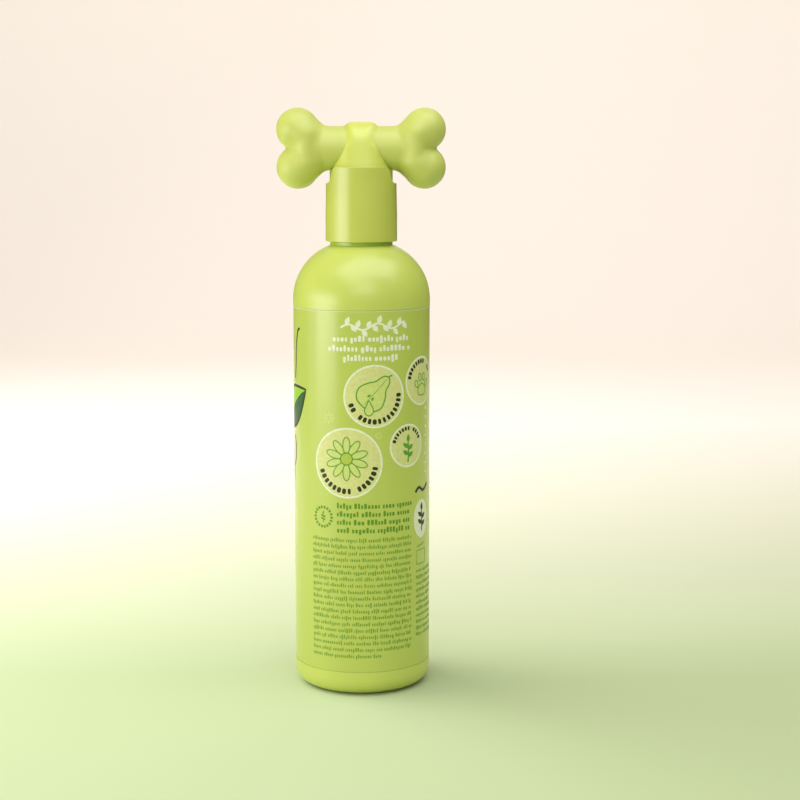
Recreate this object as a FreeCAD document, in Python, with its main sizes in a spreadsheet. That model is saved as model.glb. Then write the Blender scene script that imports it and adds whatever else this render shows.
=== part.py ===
"""Pet shampoo bottle: a blow-moulded bottle with a wrap label and a screw closure whose bone-shaped
lever rocks a barrel valve open. Millimetres, +Z up, origin at the centre of the bottle's foot.
-Y is the side with the printed text panel, and the bone lies along X."""

import FreeCAD, Part
import math
import os
import re

import Sketcher
from FreeCAD import Placement, Rotation, Vector

DIMENSIONS = {
    # bottle
    "body_radius": 26.0,
    "wall": 1.1,
    "base_corner": 6.0,
    "base_ring_inner": 16.5,
    "base_rise": 2.8,
    "shoulder_low": 148.3,
    "shoulder_bend": 22.0,
    "shoulder_end": 11.8,
    "neck_ring_high": 170.6,
    "neck_radius": 8.8,
    "neck_bore": 7.4,
    "neck_high": 185.4,
    # wrap label, in its shallow panel
    "label_depth": 0.2,
    "label_low": 9.4,
    "label_high": 145.95,
    "label_film": 0.1,
    "label_inset": 0.02,
    "label_end_gap": 0.15,
    "label_sweep": 356.0,
    "label_seam_at": 62.0,
    # gaps and overruns shared by several pieces
    "running_gap": 0.05,
    "side_gap": 0.2,
    "overcut": 1.0,
    # neck thread
    "thread_pitch": 3.175,
    "thread_turns": 1.5,
    "cap_thread_turns": 2.0,
    "thread_low": 178.85,
    "thread_crest": 9.85,
    "thread_root_half": 0.85,
    "thread_crest_half": 0.35,
    "thread_offset": 1.2,
    "thread_bite": 0.15,
    # closure: threaded inner cap inside the outer collar
    "liner_thick": 0.8,
    "deck_thick": 1.4,
    "cap_low": 171.0,
    "cap_root": 10.15,
    "cap_crest": 9.05,
    "cap_wall": 1.15,
    "flange_radius": 12.2,
    "flange_drop": 0.6,
    "flange_taper": 0.9,
    "plug_radius": 7.2,
    "plug_low": 183.6,
    "rib_count": 16.0,
    "rib_width": 1.0,
    "rib_rise": 1.0,
    "rib_stop": 2.3,
    "collar_low": 170.2,
    "collar_radius": 13.53,
    "collar_taper_low": 180.0,
    "collar_taper": 0.23,
    "collar_bore": 12.3,
    "collar_edge": 0.3,
    "floor_high": 191.9,
    "ear_high": 198.1,
    "ear_foot_half": 11.8,
    "ear_foot_rise": 0.8,
    "ear_foot_bend": 1.1,
    "ear_top_half": 10.7,
    "ear_corner": 1.8,
    "ledge_step": 0.4,
    "ledge_thick": 0.55,
    "bead_step": 0.35,
    "bead_drop": 0.95,
    "bead_back": 0.6,
    # rocking valve
    "pivot_high": 194.2,
    "open_angle": 13.0,
    "ball_radius": 12.1,
    "ball_waist": 11.85,
    "heel_drop": 6.5,
    "rocker_top": 3.4,
    "drum_radius": 8.4,
    "drum_half": 3.4,
    "rocker_wall": 1.5,
    "rocker_roof": 1.8,
    "port_radius": 0.8,
    "outlet_angle": 16.0,
    "seal_radius": 2.25,
    "seal_low": 184.45,
    "seal_gap": 0.02,
    "pin_radius": 1.5,
    "pin_reach": 12.85,
    "socket_gap": 0.08,
    "leg_half": 8.1,
    "leg_face": 9.55,
    "leg_drop": 4.2,
    # bone lever and the saddle over its shaft
    "bone_high": 204.9,
    "shaft_radius": 8.27,
    "lobe_radius": 8.05,
    "lobe_depth": 9.2,
    "lobe_out": 23.75,
    "lobe_rise": 7.05,
    "web_out": 20.6,
    "web_half": 11.9,
    "web_radius": 8.0,
    "shell_wall": 1.6,
    "key_radius": 2.0,
    "dowel_radius": 1.2,
    "dowel_root": 1.0,
    "dowel_reach": 3.0,
    "post_radius": 2.3,
    "saddle_thick": 1.58,
    "saddle_top_half": 3.6,
    "saddle_crown_half": 6.4,
    "saddle_crown_bend": 15.0,
    "saddle_waist_half": 5.3,
    "saddle_waist_rise": 3.1,
    "saddle_waist_bend": 12.8,
    "saddle_hip_half": 8.5,
    "saddle_hip_drop": 4.1,
    "saddle_flare_half": 10.85,
    "saddle_flare_drop": 7.7,
    "saddle_foot_half": 11.55,
    "saddle_round": 11.42,
    "saddle_hip_round": 10.8,
    "saddle_slope_foot": 11.35,
}


def build_sheet(document):
    """The spreadsheet that holds every driving dimension, one alias a row."""
    sheet = document.addObject("Spreadsheet::Sheet", "Dims")
    for row, (alias, number) in enumerate(DIMENSIONS.items(), start=1):
        sheet.set(f"A{row}", alias.replace("_", " "))
        sheet.set(f"B{row}", str(number))
        sheet.setAlias(f"B{row}", alias)
    document.recompute()
    return sheet


doc = FreeCAD.newDocument("shampoo_bottle")
dims = build_sheet(doc)


def linked(formula):
    """A formula in plain dimension names, as a FreeCAD expression on the sheet."""
    return re.sub(r"[a-z_]+", lambda word: "Dims." + word[0] if word[0] in DIMENSIONS else word[0], formula)


def value(formula):
    """What a formula comes to now."""
    return float(dims.evalExpression(linked(formula)))


def bind(thing, **formulas):
    """Ties properties of an object to formulas; a double underscore stands for a dot."""
    for name, formula in formulas.items():
        thing.setExpression(name.replace("__", "."), linked(formula))


def primitive(kind, name, **formulas):
    """A Part primitive whose sizes and place follow the sheet."""
    thing = doc.addObject(kind, name)
    bind(thing, **formulas)
    return thing


def combine(kind, name, *members):
    """A Part boolean: the first member less, with or within the rest."""
    thing = doc.addObject(kind, name)
    if kind == "Part::MultiFuse":
        thing.Shapes = list(members)
    else:
        thing.Base, thing.Tool = members
    return thing


def new_body(name):
    body = doc.addObject("PartDesign::Body", name)
    body.Label = name
    return body


def new_sketch(body, name, role="XZ_Plane"):
    """An empty sketch on one of the body's own origin planes."""
    sketch = body.newObject("Sketcher::SketchObject", name)
    plane = next(plane for plane in body.Origin.OriginFeatures if plane.Role == role)
    sketch.AttachmentSupport = [(plane, "")]
    sketch.MapMode = "FlatFace"
    return sketch


def constrain(sketch, kind, *where, formula):
    """One dimension of a sketch, tied to a formula."""
    index = sketch.addConstraint(Sketcher.Constraint(kind, *where, value(formula)))
    sketch.setExpression(f"Constraints[{index}]", linked(formula))


def add_loop(sketch, steps):
    """A closed outline. A step is (across, up), reached by a line, or (across, up, radius, side), reached
    by an arc whose centre is left (side 1) or right (side -1) of the way there."""
    points = [Vector(value(step[0]), value(step[1]), 0) for step in steps]
    ends = []
    for number, step in enumerate(steps):
        tail, head = points[number - 1], points[number]
        if len(step) == 2:
            index = sketch.addGeometry(Part.LineSegment(tail, head))
            ends.append((index, 1, 2))
            continue
        radius, side = value(step[2]), step[3]
        chord = head - tail
        left = Vector(-chord.y, chord.x, 0).normalize()
        reach = math.sqrt(max(radius**2 - (chord.Length / 2) ** 2, 0))
        centre = (tail + head) * 0.5 + left * (side * reach)
        turns = [math.atan2(point.y - centre.y, point.x - centre.x) for point in (tail, head)]
        begin, finish = turns if side > 0 else reversed(turns)
        finish += 2 * math.pi if finish < begin else 0
        circle = Part.Circle(centre, Vector(0, 0, 1), radius)
        index = sketch.addGeometry(Part.ArcOfCircle(circle, begin, finish))
        ends.append((index, 1, 2) if side > 0 else (index, 2, 1))
        constrain(sketch, "Radius", index, formula=step[2])
    for number, step in enumerate(steps):
        index, _, head = ends[number]
        after, after_tail, _ = ends[(number + 1) % len(steps)]
        sketch.addConstraint(Sketcher.Constraint("Coincident", index, head, after, after_tail))
        constrain(sketch, "DistanceX", -1, 1, index, head, formula=step[0])
        constrain(sketch, "DistanceY", -1, 1, index, head, formula=step[1])


def mirrored(path):
    """An open path on the other side of the upright axis, walked back."""
    walked = []
    for number, step in reversed(list(enumerate(path))):
        bend = path[number + 1][2:] if number + 1 < len(path) else ()
        walked.append((f"-({step[0]})", step[1], *bend))
    return walked


def add_circle(sketch, across, up, radius):
    centre = Vector(value(across), value(up), 0)
    index = sketch.addGeometry(Part.Circle(centre, Vector(0, 0, 1), value(radius)))
    constrain(sketch, "Radius", index, formula=radius)
    constrain(sketch, "DistanceX", -1, 1, index, 3, formula=across)
    constrain(sketch, "DistanceY", -1, 1, index, 3, formula=up)


def box_loop(low_across, low_up, high_across, high_up):
    return [(low_across, low_up), (high_across, low_up), (high_across, high_up), (low_across, high_up)]


def turned(body, name, *loops, kind="PartDesign::Revolution"):
    """A full turn about Z of outlines given as (radius, height)."""
    sketch = new_sketch(body, name + "_outline")
    for loop in loops:
        add_loop(sketch, loop)
    feature = body.newObject(kind, name)
    feature.Profile = sketch
    feature.ReferenceAxis = (sketch, ["V_Axis"])
    feature.Angle = 360
    return feature


def through(body, name, kind, length, role="XZ_Plane", loops=(), circles=()):
    """A pad or pocket that runs both ways from one of the origin planes."""
    sketch = new_sketch(body, name + "_outline", role)
    for loop in loops:
        add_loop(sketch, loop)
    for circle in circles:
        add_circle(sketch, *circle)
    feature = body.newObject(kind, name)
    feature.Profile = sketch
    feature.Midplane = True
    bind(feature, Length=length)
    return feature


def lifted(body, name, height):
    """An empty sketch on the body's XY plane, raised to a height."""
    sketch = new_sketch(body, name, "XY_Plane")
    sketch.AttachmentOffset = Placement(Vector(0, 0, value(height)), Rotation())
    bind(sketch, AttachmentOffset__Base__z=height)
    return sketch


def raised(body, name, kind, sketch, length):
    """A pad or pocket that runs straight up from its sketch."""
    feature = body.newObject(kind, name)
    feature.Profile = sketch
    feature.Reversed = kind == "PartDesign::Pocket"
    bind(feature, Length=length)
    return feature


def helix(body, name, loop, turns):
    """A right-handed thread ridge swept from a section given as (radius, height)."""
    sketch = new_sketch(body, name + "_section")
    add_loop(sketch, loop)
    ridge = body.newObject("PartDesign::AdditiveHelix", name)
    ridge.Profile = sketch
    ridge.ReferenceAxis = (sketch, ["V_Axis"])
    ridge.Mode = "pitch-height-angle"
    bind(ridge, Pitch="thread_pitch", Height=f"thread_pitch * {turns}")
    return ridge


# ---------------------------------------------------------------- bottle and label

SHOULDER_TOP = "shoulder_low + sqrt(shoulder_bend^2 - (shoulder_bend - body_radius + shoulder_end)^2)"
INNER_SHOULDER_TOP = (
    "shoulder_low + sqrt((shoulder_bend - wall)^2 - (shoulder_bend - body_radius + neck_bore)^2)"
)
BASE_ARC = "(base_ring_inner^2 + base_rise^2) / (2 * base_rise)"


def make_bottle():
    """Blown bottle: pushed-up foot, label panel, domed shoulder and threaded neck, one wall all round."""
    body = new_body("bottle")
    turned(
        body,
        "bottle_wall",
        [
            ("0", "base_rise"),
            ("base_ring_inner", "0", BASE_ARC, -1),
            ("body_radius - base_corner", "0"),
            ("body_radius", "base_corner", "base_corner", 1),
            ("body_radius", "label_low"),
            ("body_radius - label_depth", "label_low"),
            ("body_radius - label_depth", "label_high"),
            ("body_radius", "label_high"),
            ("body_radius", "shoulder_low"),
            ("shoulder_end", SHOULDER_TOP, "shoulder_bend", 1),
            ("shoulder_end", "neck_ring_high"),
            ("neck_radius", "neck_ring_high"),
            ("neck_radius", "neck_high"),
            ("neck_bore", "neck_high"),
            ("neck_bore", INNER_SHOULDER_TOP),
            ("body_radius - wall", "shoulder_low", "shoulder_bend - wall", -1),
            ("body_radius - wall", "base_corner"),
            ("body_radius - base_corner", "wall", "base_corner - wall", -1),
            ("base_ring_inner", "wall"),
            ("0", "base_rise + wall", BASE_ARC, 1),
        ],
    )
    helix(
        body,
        "bottle_thread",
        [
            ("neck_radius - thread_bite", "thread_low - thread_root_half"),
            ("thread_crest", "thread_low - thread_crest_half"),
            ("thread_crest", "thread_low + thread_crest_half"),
            ("neck_radius - thread_bite", "thread_low + thread_root_half"),
        ],
        "thread_turns",
    )
    return body


def make_label():
    """Printed film wrapped round the panel, with a narrow gap at its seam."""
    body = new_body("label_wrap")
    inside = "body_radius - label_depth + label_inset"
    film = turned(
        body,
        "label_film",
        box_loop(inside, "label_low + label_end_gap", inside + " + label_film", "label_high - label_end_gap"),
    )
    bind(film, Angle="label_sweep")
    body.Placement.Rotation = Rotation(Vector(0, 0, 1), value("label_seam_at"))
    bind(body, Placement__Rotation__Angle="label_seam_at")
    return body


# ---------------------------------------------------------------- closure


def make_liner():
    """Foamed sealing ring between the neck's land and the inner cap's deck."""
    body = new_body("neck_liner")
    turned(
        body,
        "liner_ring",
        box_loop("neck_bore + running_gap", "neck_high", "cap_root - side_gap", "neck_high + liner_thick"),
    )
    return body


DECK_LOW = "neck_high + liner_thick"
DECK_HIGH = "neck_high + liner_thick + deck_thick"


def make_inner_cap():
    """Threaded insert: ribbed skirt, deck, and a plug that holds the drum's seat and the port."""
    body = new_body("inner_cap")
    turned(
        body,
        "cap_wall_and_deck",
        [
            ("0", "plug_low"),
            ("plug_radius", "plug_low"),
            ("plug_radius", DECK_LOW),
            ("cap_root", DECK_LOW),
            ("cap_root", "cap_low"),
            ("cap_root + cap_wall", "cap_low"),
            ("cap_root + cap_wall", DECK_LOW + " - flange_drop - flange_taper"),
            ("flange_radius", DECK_LOW + " - flange_drop"),
            ("flange_radius", DECK_HIGH),
            ("0", DECK_HIGH),
        ],
    )
    section = lifted(body, "rib_section", "cap_low + rib_rise")
    add_loop(section, box_loop("cap_root + cap_wall / 2", "-rib_width / 2", "flange_radius", "rib_width / 2"))
    rib = raised(body, "rib", "PartDesign::Pad", section, DECK_LOW + " - rib_stop - cap_low - rib_rise")
    doc.recompute()
    ribs = body.newObject("PartDesign::PolarPattern", "ribs")
    ribs.Originals = [rib]
    ribs.Axis = (section, ["N_Axis"])
    ribs.Angle = 360
    bind(ribs, Occurrences="rib_count")
    body.Tip = ribs
    through(
        body,
        "drum_well",
        "PartDesign::Pocket",
        "2 * (drum_half + side_gap)",
        circles=[("0", "pivot_high", "drum_radius + running_gap")],
    )
    turned(
        body,
        "port_and_seal_seat",
        [
            ("0", "plug_low - overcut"),
            ("port_radius", "plug_low - overcut"),
            ("port_radius", "seal_low"),
            ("seal_radius", "seal_low"),
            ("seal_radius", DECK_LOW),
            ("0", DECK_LOW),
        ],
        kind="PartDesign::Groove",
    )
    low = "thread_low - thread_offset - thread_pitch"
    helix(
        body,
        "cap_thread",
        [
            ("cap_root + thread_bite", low + " - thread_root_half"),
            ("cap_root + thread_bite", low + " + thread_root_half"),
            ("cap_crest", low + " + thread_crest_half"),
            ("cap_crest", low + " - thread_crest_half"),
        ],
        "cap_thread_turns",
    )
    return body


def make_collar():
    """Outer collar: smooth shell snapped over the inner cap, with two ears that carry the pivot."""
    body = new_body("outer_collar")
    slim = "collar_radius - collar_taper"
    ledge_low = DECK_HIGH + " + running_gap"
    bead_high = DECK_LOW + " - bead_drop"
    turned(
        body,
        "collar_shell",
        [
            ("collar_bore", "collar_low"),
            ("collar_radius - collar_edge", "collar_low"),
            ("collar_radius", "collar_low + collar_edge", "collar_edge", 1),
            ("collar_radius", "collar_taper_low"),
            (slim, "floor_high"),
            (slim, "ear_high - collar_edge"),
            (slim + " - collar_edge", "ear_high", "collar_edge", 1),
            ("collar_bore + collar_edge", "ear_high"),
            ("collar_bore", "ear_high - collar_edge", "collar_edge", 1),
            ("collar_bore", ledge_low + " + ledge_thick + ledge_step"),
            ("collar_bore - ledge_step", ledge_low + " + ledge_thick"),
            ("collar_bore - ledge_step", ledge_low),
            ("collar_bore", ledge_low),
            ("collar_bore", bead_high),
            ("collar_bore - bead_step", bead_high + " - bead_step"),
            ("collar_bore", bead_high + " - bead_step - bead_back"),
        ],
    )
    cutaway = [
        ("collar_radius + overcut", "floor_high"),
        ("ear_foot_half + overcut", "floor_high"),
        ("ear_foot_half", "floor_high + ear_foot_rise", "ear_foot_bend", -1),
        ("ear_top_half", "ear_high - ear_corner"),
        ("ear_top_half - ear_corner", "ear_high", "ear_corner", 1),
        ("ear_top_half - ear_corner", "ear_high + overcut"),
        ("collar_radius + overcut", "ear_high + overcut"),
    ]
    through(
        body,
        "side_cutaways",
        "PartDesign::Pocket",
        "3 * collar_radius",
        loops=[cutaway, mirrored(cutaway)],
    )
    through(
        body,
        "pin_sockets",
        "PartDesign::Pocket",
        "2 * (pin_reach + socket_gap)",
        circles=[("0", "pivot_high", "pin_radius + socket_gap")],
    )
    return body


def make_seal():
    """Soft ring round the port, its top hollowed to the drum's radius."""
    body = new_body("valve_seal")
    turned(
        body,
        "seal_ring",
        box_loop("port_radius + running_gap", "seal_low", "seal_radius - seal_gap", DECK_LOW),
    )
    through(
        body,
        "seal_hollow",
        "PartDesign::Pocket",
        "4 * seal_radius",
        circles=[("0", "pivot_high", "drum_radius + seal_gap")],
    )
    return body


# ---------------------------------------------------------------- rocker, saddle and bone


BALL_WAIST_RISE = "sqrt(ball_radius^2 - ball_waist^2)"
SHAFT_WAY = "shaft_radius + running_gap"
HIP_HIGH = "bone_high - saddle_hip_drop"
FLARE_LOW = "bone_high - saddle_flare_drop"
SLOT_HALF = "sqrt((shaft_radius + running_gap)^2 - saddle_hip_drop^2)"
LEDGE_HIGH = "pivot_high + rocker_top"
LEG_LOW = "pivot_high - leg_drop"


def radial_bore(name, angle, length):
    """A liquid channel that runs out from the pivot axis, its angle taken from straight up."""
    bore = primitive("Part::Cylinder", name, Radius="port_radius", Height=length)
    bore.Placement.Rotation = Rotation(Vector(0, 1, 0), value(angle))
    bind(bore, Placement__Base__z="pivot_high", Placement__Rotation__Angle=angle)
    return bore


def cut_rocker_below(body):
    """Coring pockets under the rocker, the heel's second plane, and the flats that clear the strap's legs."""
    core_near, core_far = "drum_half + side_gap", "leg_face - rocker_wall"
    core_round = "ball_waist - rocker_wall"
    half_near = f"sqrt(({core_round})^2 - ({core_near})^2)"
    half_far = f"sqrt(({core_round})^2 - ({core_far})^2)"
    cores = lifted(body, "cores_outline", "pivot_high - heel_drop - overcut")
    for sign, side in (("", 1), ("-", -1)):
        core = [
            (f"-{half_near}", f"{sign}({core_near})", core_round, side),
            (half_near, f"{sign}({core_near})"),
            (half_far, f"{sign}({core_far})", core_round, side),
            (f"-{half_far}", f"{sign}({core_far})"),
        ]
        add_loop(cores, core)
    raised(body, "cores", "PartDesign::Pocket", cores, "heel_drop + overcut + rocker_top - rocker_roof")
    far_edge = "(2 * ball_radius)"
    heel = [
        ("heel_drop * (cos(open_angle) - 1) / sin(open_angle)", "pivot_high - heel_drop"),
        (
            f"-{far_edge}",
            f"pivot_high - (heel_drop - {far_edge} * sin(open_angle)) / cos(open_angle)",
        ),
        (f"-{far_edge}", "pivot_high - heel_drop"),
    ]
    through(body, "heel_relief", "PartDesign::Pocket", "3 * ball_radius", loops=[heel])
    flats = lifted(body, "flats_outline", "pivot_high - leg_drop - side_gap")
    for sign in ("", "-"):
        flat = box_loop(
            "-leg_half - side_gap", f"{sign}leg_face", "leg_half + side_gap", f"{sign}(ball_radius + overcut)"
        )
        add_loop(flats, flat)
    raised(body, "leg_flats", "PartDesign::Pocket", flats, "leg_drop + rocker_top + overcut")


def add_rocker_cradle(body):
    """Two horns that flare with the saddle, the round cradle for the shaft, and the peg that keys it."""
    slot = f"{SLOT_HALF} - running_gap"
    flare = [
        ("saddle_flare_half", FLARE_LOW),
        ("saddle_hip_half", HIP_HIGH),
    ]
    through(body, "horns", "PartDesign::Pad", f"2 * ({slot})", loops=[flare + mirrored(flare)])
    rounding = [
        ("2 * ball_radius", f"{FLARE_LOW} - running_gap"),
        ("2 * ball_radius", "bone_high"),
        ("saddle_hip_round", "bone_high"),
        ("saddle_hip_round", HIP_HIGH),
        ("saddle_round", f"{FLARE_LOW} - running_gap"),
    ]
    turned(body, "horn_rounding", rounding, kind="PartDesign::Groove")
    cradle = [("0", "bone_high", SHAFT_WAY)]
    through(body, "cradle", "PartDesign::Pocket", "3 * ball_radius", role="YZ_Plane", circles=cradle)
    key = lifted(body, "key_outline", "pivot_high + rocker_wall")
    add_circle(key, "0", "0", "key_radius")
    raised(
        body,
        "bone_key",
        "PartDesign::Pad",
        key,
        "bone_high - shaft_radius + shell_wall - pivot_high - rocker_wall",
    )


def make_rocker():
    """Ball-sided rocker: barrel valve below, pivot pins at front and back, cradle for the bone on top."""
    body = new_body("rocker_blank")
    ball_zone = [
        ("0", "pivot_high - heel_drop"),
        ("sqrt(ball_radius^2 - heel_drop^2)", "pivot_high - heel_drop"),
        ("ball_waist", f"pivot_high - {BALL_WAIST_RISE}", "ball_radius", 1),
        ("ball_waist", f"pivot_high + {BALL_WAIST_RISE}"),
        ("sqrt(ball_radius^2 - rocker_top^2)", LEDGE_HIGH, "ball_radius", 1),
        ("0", LEDGE_HIGH),
    ]
    turned(body, "ball_zone", ball_zone)
    cut_rocker_below(body)
    drum_top = "pivot_high - heel_drop + rocker_wall"
    chord = "sqrt(drum_radius^2 - (heel_drop - rocker_wall)^2)"
    drum = [
        (f"-{chord}", drum_top),
        ("0", "pivot_high - drum_radius", "drum_radius", 1),
        (chord, drum_top, "drum_radius", 1),
    ]
    through(body, "drum", "PartDesign::Pad", "2 * drum_half", loops=[drum])
    pins = [("0", "pivot_high", "pin_radius")]
    through(body, "pivot_pins", "PartDesign::Pad", "2 * pin_reach", circles=pins)
    add_rocker_cradle(body)
    inlet = radial_bore("inlet", "180 + open_angle", "drum_radius + overcut")
    outlet = radial_bore("outlet", "90 + outlet_angle", "ball_radius + overcut")
    elbow = primitive("Part::Sphere", "elbow", Radius="port_radius", Placement__Base__z="pivot_high")
    channel = combine("Part::MultiFuse", "channel", inlet, outlet, elbow)
    rocker = combine("Part::Cut", "rocker_drilled", body, channel)
    rocker.Label = "rocker"
    return rocker


def make_saddle():
    """Saddle strap: bell-fronted cover over the bone's shaft, with two legs that hang on the pivot pins."""
    body = new_body("saddle_strap")
    outer = "(shaft_radius + saddle_thick)"
    bell = [
        ("saddle_foot_half", LEG_LOW),
        ("saddle_flare_half", FLARE_LOW),
        ("saddle_hip_half", HIP_HIGH),
        ("saddle_waist_half", "bone_high + saddle_waist_rise", "saddle_waist_bend", -1),
        ("saddle_crown_half", "bone_high + shaft_radius", "saddle_crown_bend", -1),
        ("saddle_top_half", f"bone_high + {outer}"),
    ]
    through(body, "bell_front", "PartDesign::Pad", "3 * ball_radius", loops=[bell + mirrored(bell)])
    foot_drop = "(bone_high - ear_high)"
    foot_reach = f"sqrt(saddle_slope_foot^2 + {foot_drop}^2)"
    lean = f"(acos({outer} / {foot_reach}) - atan({foot_drop} / saddle_slope_foot))"
    side = [
        ("2 * ball_radius", "bone_high + 2 * ball_radius"),
        ("2 * ball_radius", "ear_high"),
        ("saddle_slope_foot", "ear_high"),
        (f"{outer} * cos({lean})", f"bone_high + {outer} * sin({lean})"),
    ]
    crown = [("0", f"bone_high + {outer}", outer, 1)]
    back = mirrored(side)
    back[0] = (*back[0], outer, 1)
    through(
        body,
        "saddle_outside",
        "PartDesign::Pocket",
        "3 * ball_radius",
        role="YZ_Plane",
        loops=[side + crown + back],
    )
    rounding = [
        ("2 * ball_radius", f"{LEG_LOW} - overcut"),
        ("2 * ball_radius", "bone_high + ball_radius"),
        ("saddle_hip_round", "bone_high + ball_radius"),
        ("saddle_hip_round", HIP_HIGH),
        ("saddle_round", "ear_high"),
        ("ball_waist", f"pivot_high + {BALL_WAIST_RISE}"),
        ("ball_waist", f"pivot_high - {BALL_WAIST_RISE}"),
        ("sqrt(ball_radius^2 - (leg_drop + overcut)^2)", f"{LEG_LOW} - overcut", "ball_radius", -1),
    ]
    turned(body, "saddle_rounding", rounding, kind="PartDesign::Groove")
    way = [
        ("leg_face + running_gap", f"{LEG_LOW} - overcut"),
        ("leg_face + running_gap", f"{LEDGE_HIGH} + running_gap"),
        (SLOT_HALF, f"{LEDGE_HIGH} + running_gap"),
        (SLOT_HALF, HIP_HIGH),
        (SHAFT_WAY, "bone_high", SHAFT_WAY, 1),
    ]
    crest = [("0", f"bone_high + {SHAFT_WAY}", SHAFT_WAY, 1)]
    far = mirrored(way)
    far[0] = (*far[0], SHAFT_WAY, 1)
    through(
        body,
        "shaft_way",
        "PartDesign::Pocket",
        "3 * ball_radius",
        role="YZ_Plane",
        loops=[way + crest + far],
    )
    trim_low, trim_high = f"{LEG_LOW} - overcut", f"{LEDGE_HIGH} + running_gap"
    trim = box_loop("leg_half", trim_low, "ball_radius + overcut", trim_high)
    far_trim = box_loop("-leg_half", trim_low, "-ball_radius - overcut", trim_high)
    through(body, "leg_trims", "PartDesign::Pocket", "3 * ball_radius", loops=[trim, far_trim])
    holes = [("0", "pivot_high", "pin_radius + running_gap")]
    through(body, "pin_holes", "PartDesign::Pocket", "3 * ball_radius", circles=holes)
    return body


def bone_solid(name, shrink):
    """The bone as overlapping rounded lumps, made smaller all round by a formula."""
    lumps = []
    shaft = primitive(
        "Part::Cylinder",
        f"{name}_shaft",
        Radius=f"shaft_radius - {shrink}",
        Height="2 * web_out",
        Placement__Base__x="-web_out",
        Placement__Base__z="bone_high",
    )
    shaft.Placement.Rotation = Rotation(Vector(0, 1, 0), 90)
    lumps.append(shaft)
    for across, side in (("-", "left"), ("", "right")):
        web = primitive(
            "Part::Ellipsoid",
            f"{name}_{side}_web",
            Radius1=f"web_half - {shrink}",
            Radius2=f"web_radius - {shrink}",
            Radius3=f"lobe_depth - {shrink}",
            Placement__Base__x=f"{across}web_out",
            Placement__Base__z="bone_high",
        )
        lumps.append(web)
        for up, level in (("-", "lower"), ("+", "upper")):
            lobe = primitive(
                "Part::Ellipsoid",
                f"{name}_{side}_{level}_lobe",
                Radius1=f"lobe_radius - {shrink}",
                Radius2=f"lobe_radius - {shrink}",
                Radius3=f"lobe_depth - {shrink}",
                Placement__Base__x=f"{across}lobe_out",
                Placement__Base__z=f"bone_high {up} lobe_rise",
            )
            lumps.append(lobe)
    return combine("Part::MultiFuse", name, *lumps)


def lobe_rods(name, radius, height, rear):
    """One round rod along Y in each of the four lobes, which starts at its rear end."""
    rods = []
    for across in ("-", ""):
        for up in ("-", "+"):
            rod = primitive(
                "Part::Cylinder",
                name,
                Radius=radius,
                Height=height,
                Placement__Base__x=f"{across}lobe_out",
                Placement__Base__y=rear,
                Placement__Base__z=f"bone_high {up} lobe_rise",
            )
            rod.Placement.Rotation = Rotation(Vector(1, 0, 0), 90)
            rods.append(rod)
    return rods


def bone_half_shell(name, low, outside, inside):
    """The hollow bone on one side of the upright plane through its shaft, from y = low."""
    half = primitive(
        "Part::Box",
        f"{name}_half_space",
        Length="4 * lobe_out",
        Width="2 * ball_radius",
        Height="4 * lobe_out",
        Placement__Base__x="-2 * lobe_out",
        Placement__Base__y=low,
        Placement__Base__z="bone_high - 2 * lobe_out",
    )
    hollow = combine("Part::Cut", f"{name}_hollow", outside, inside)
    return combine("Part::Common", f"{name}_wall", hollow, half)


def key_way(name):
    """Hole in the underside of the shaft for the rocker's peg."""
    return primitive(
        "Part::Cylinder",
        f"{name}_key_way",
        Radius="key_radius + running_gap",
        Height="2 * shell_wall",
        Placement__Base__z="bone_high - shaft_radius - shell_wall / 2",
    )


POST_REACH = "lobe_depth - shell_wall / 2"


def make_bone_front(outside, inside):
    """Front half of the bone, with a post in each lobe that is drilled for a dowel."""
    name = "bone_front_shell"
    wall = bone_half_shell(name, "-2 * ball_radius", outside, inside)
    posts = lobe_rods(f"{name}_post", "post_radius", f"{POST_REACH} - running_gap", "-running_gap")
    solid = combine("Part::MultiFuse", f"{name}_with_posts", wall, *posts)
    holes = lobe_rods(f"{name}_hole", "dowel_radius + running_gap", "dowel_reach + side_gap", "0")
    tool = combine("Part::MultiFuse", f"{name}_holes", key_way(name), *holes)
    piece = combine("Part::Cut", name, solid, tool)
    piece.Label = name
    return piece


def make_bone_rear(outside, inside):
    """Rear half of the bone, with a post in each lobe that ends in a dowel."""
    name = "bone_rear_shell"
    wall = bone_half_shell(name, "0", outside, inside)
    posts = lobe_rods(f"{name}_post", "post_radius", f"{POST_REACH} - running_gap", POST_REACH)
    dowels = lobe_rods(f"{name}_dowel", "dowel_radius", "dowel_root + dowel_reach", "dowel_root")
    solid = combine("Part::MultiFuse", f"{name}_with_dowels", wall, *posts, *dowels)
    piece = combine("Part::Cut", name, solid, key_way(name))
    piece.Label = name
    return piece


def make_bone():
    outside = bone_solid("bone_outside", "0")
    inside = bone_solid("bone_inside", "shell_wall")
    return [make_bone_front(outside, inside), make_bone_rear(outside, inside)]


# ---------------------------------------------------------------- build, check and write


def main():
    pieces = [
        make_bottle(),
        make_label(),
        make_liner(),
        make_inner_cap(),
        make_collar(),
        make_seal(),
        make_rocker(),
        make_saddle(),
        *make_bone(),
    ]
    doc.recompute()
    failed = [thing.Name for thing in doc.Objects if {"Invalid", "Error"} & set(thing.State)]
    if failed:
        raise SystemExit(f"these objects failed: {failed}")
    os.makedirs("parts", exist_ok=True)
    for piece in pieces:
        shape = piece.Shape
        if shape.isNull() or not shape.isValid() or not shape.Solids:
            raise SystemExit(f"{piece.Label} has no valid solid")
        shape.exportStep(f"parts/{piece.Label}.step")
        box = shape.optimalBoundingBox()
        print(
            f"{piece.Label}: {len(shape.Solids)} solid, {shape.Volume:.1f} mm3, "
            f"x {box.XMin:.2f} {box.XMax:.2f}, "
            f"y {box.YMin:.2f} {box.YMax:.2f}, "
            f"z {box.ZMin:.2f} {box.ZMax:.2f}"
        )


main()
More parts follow.
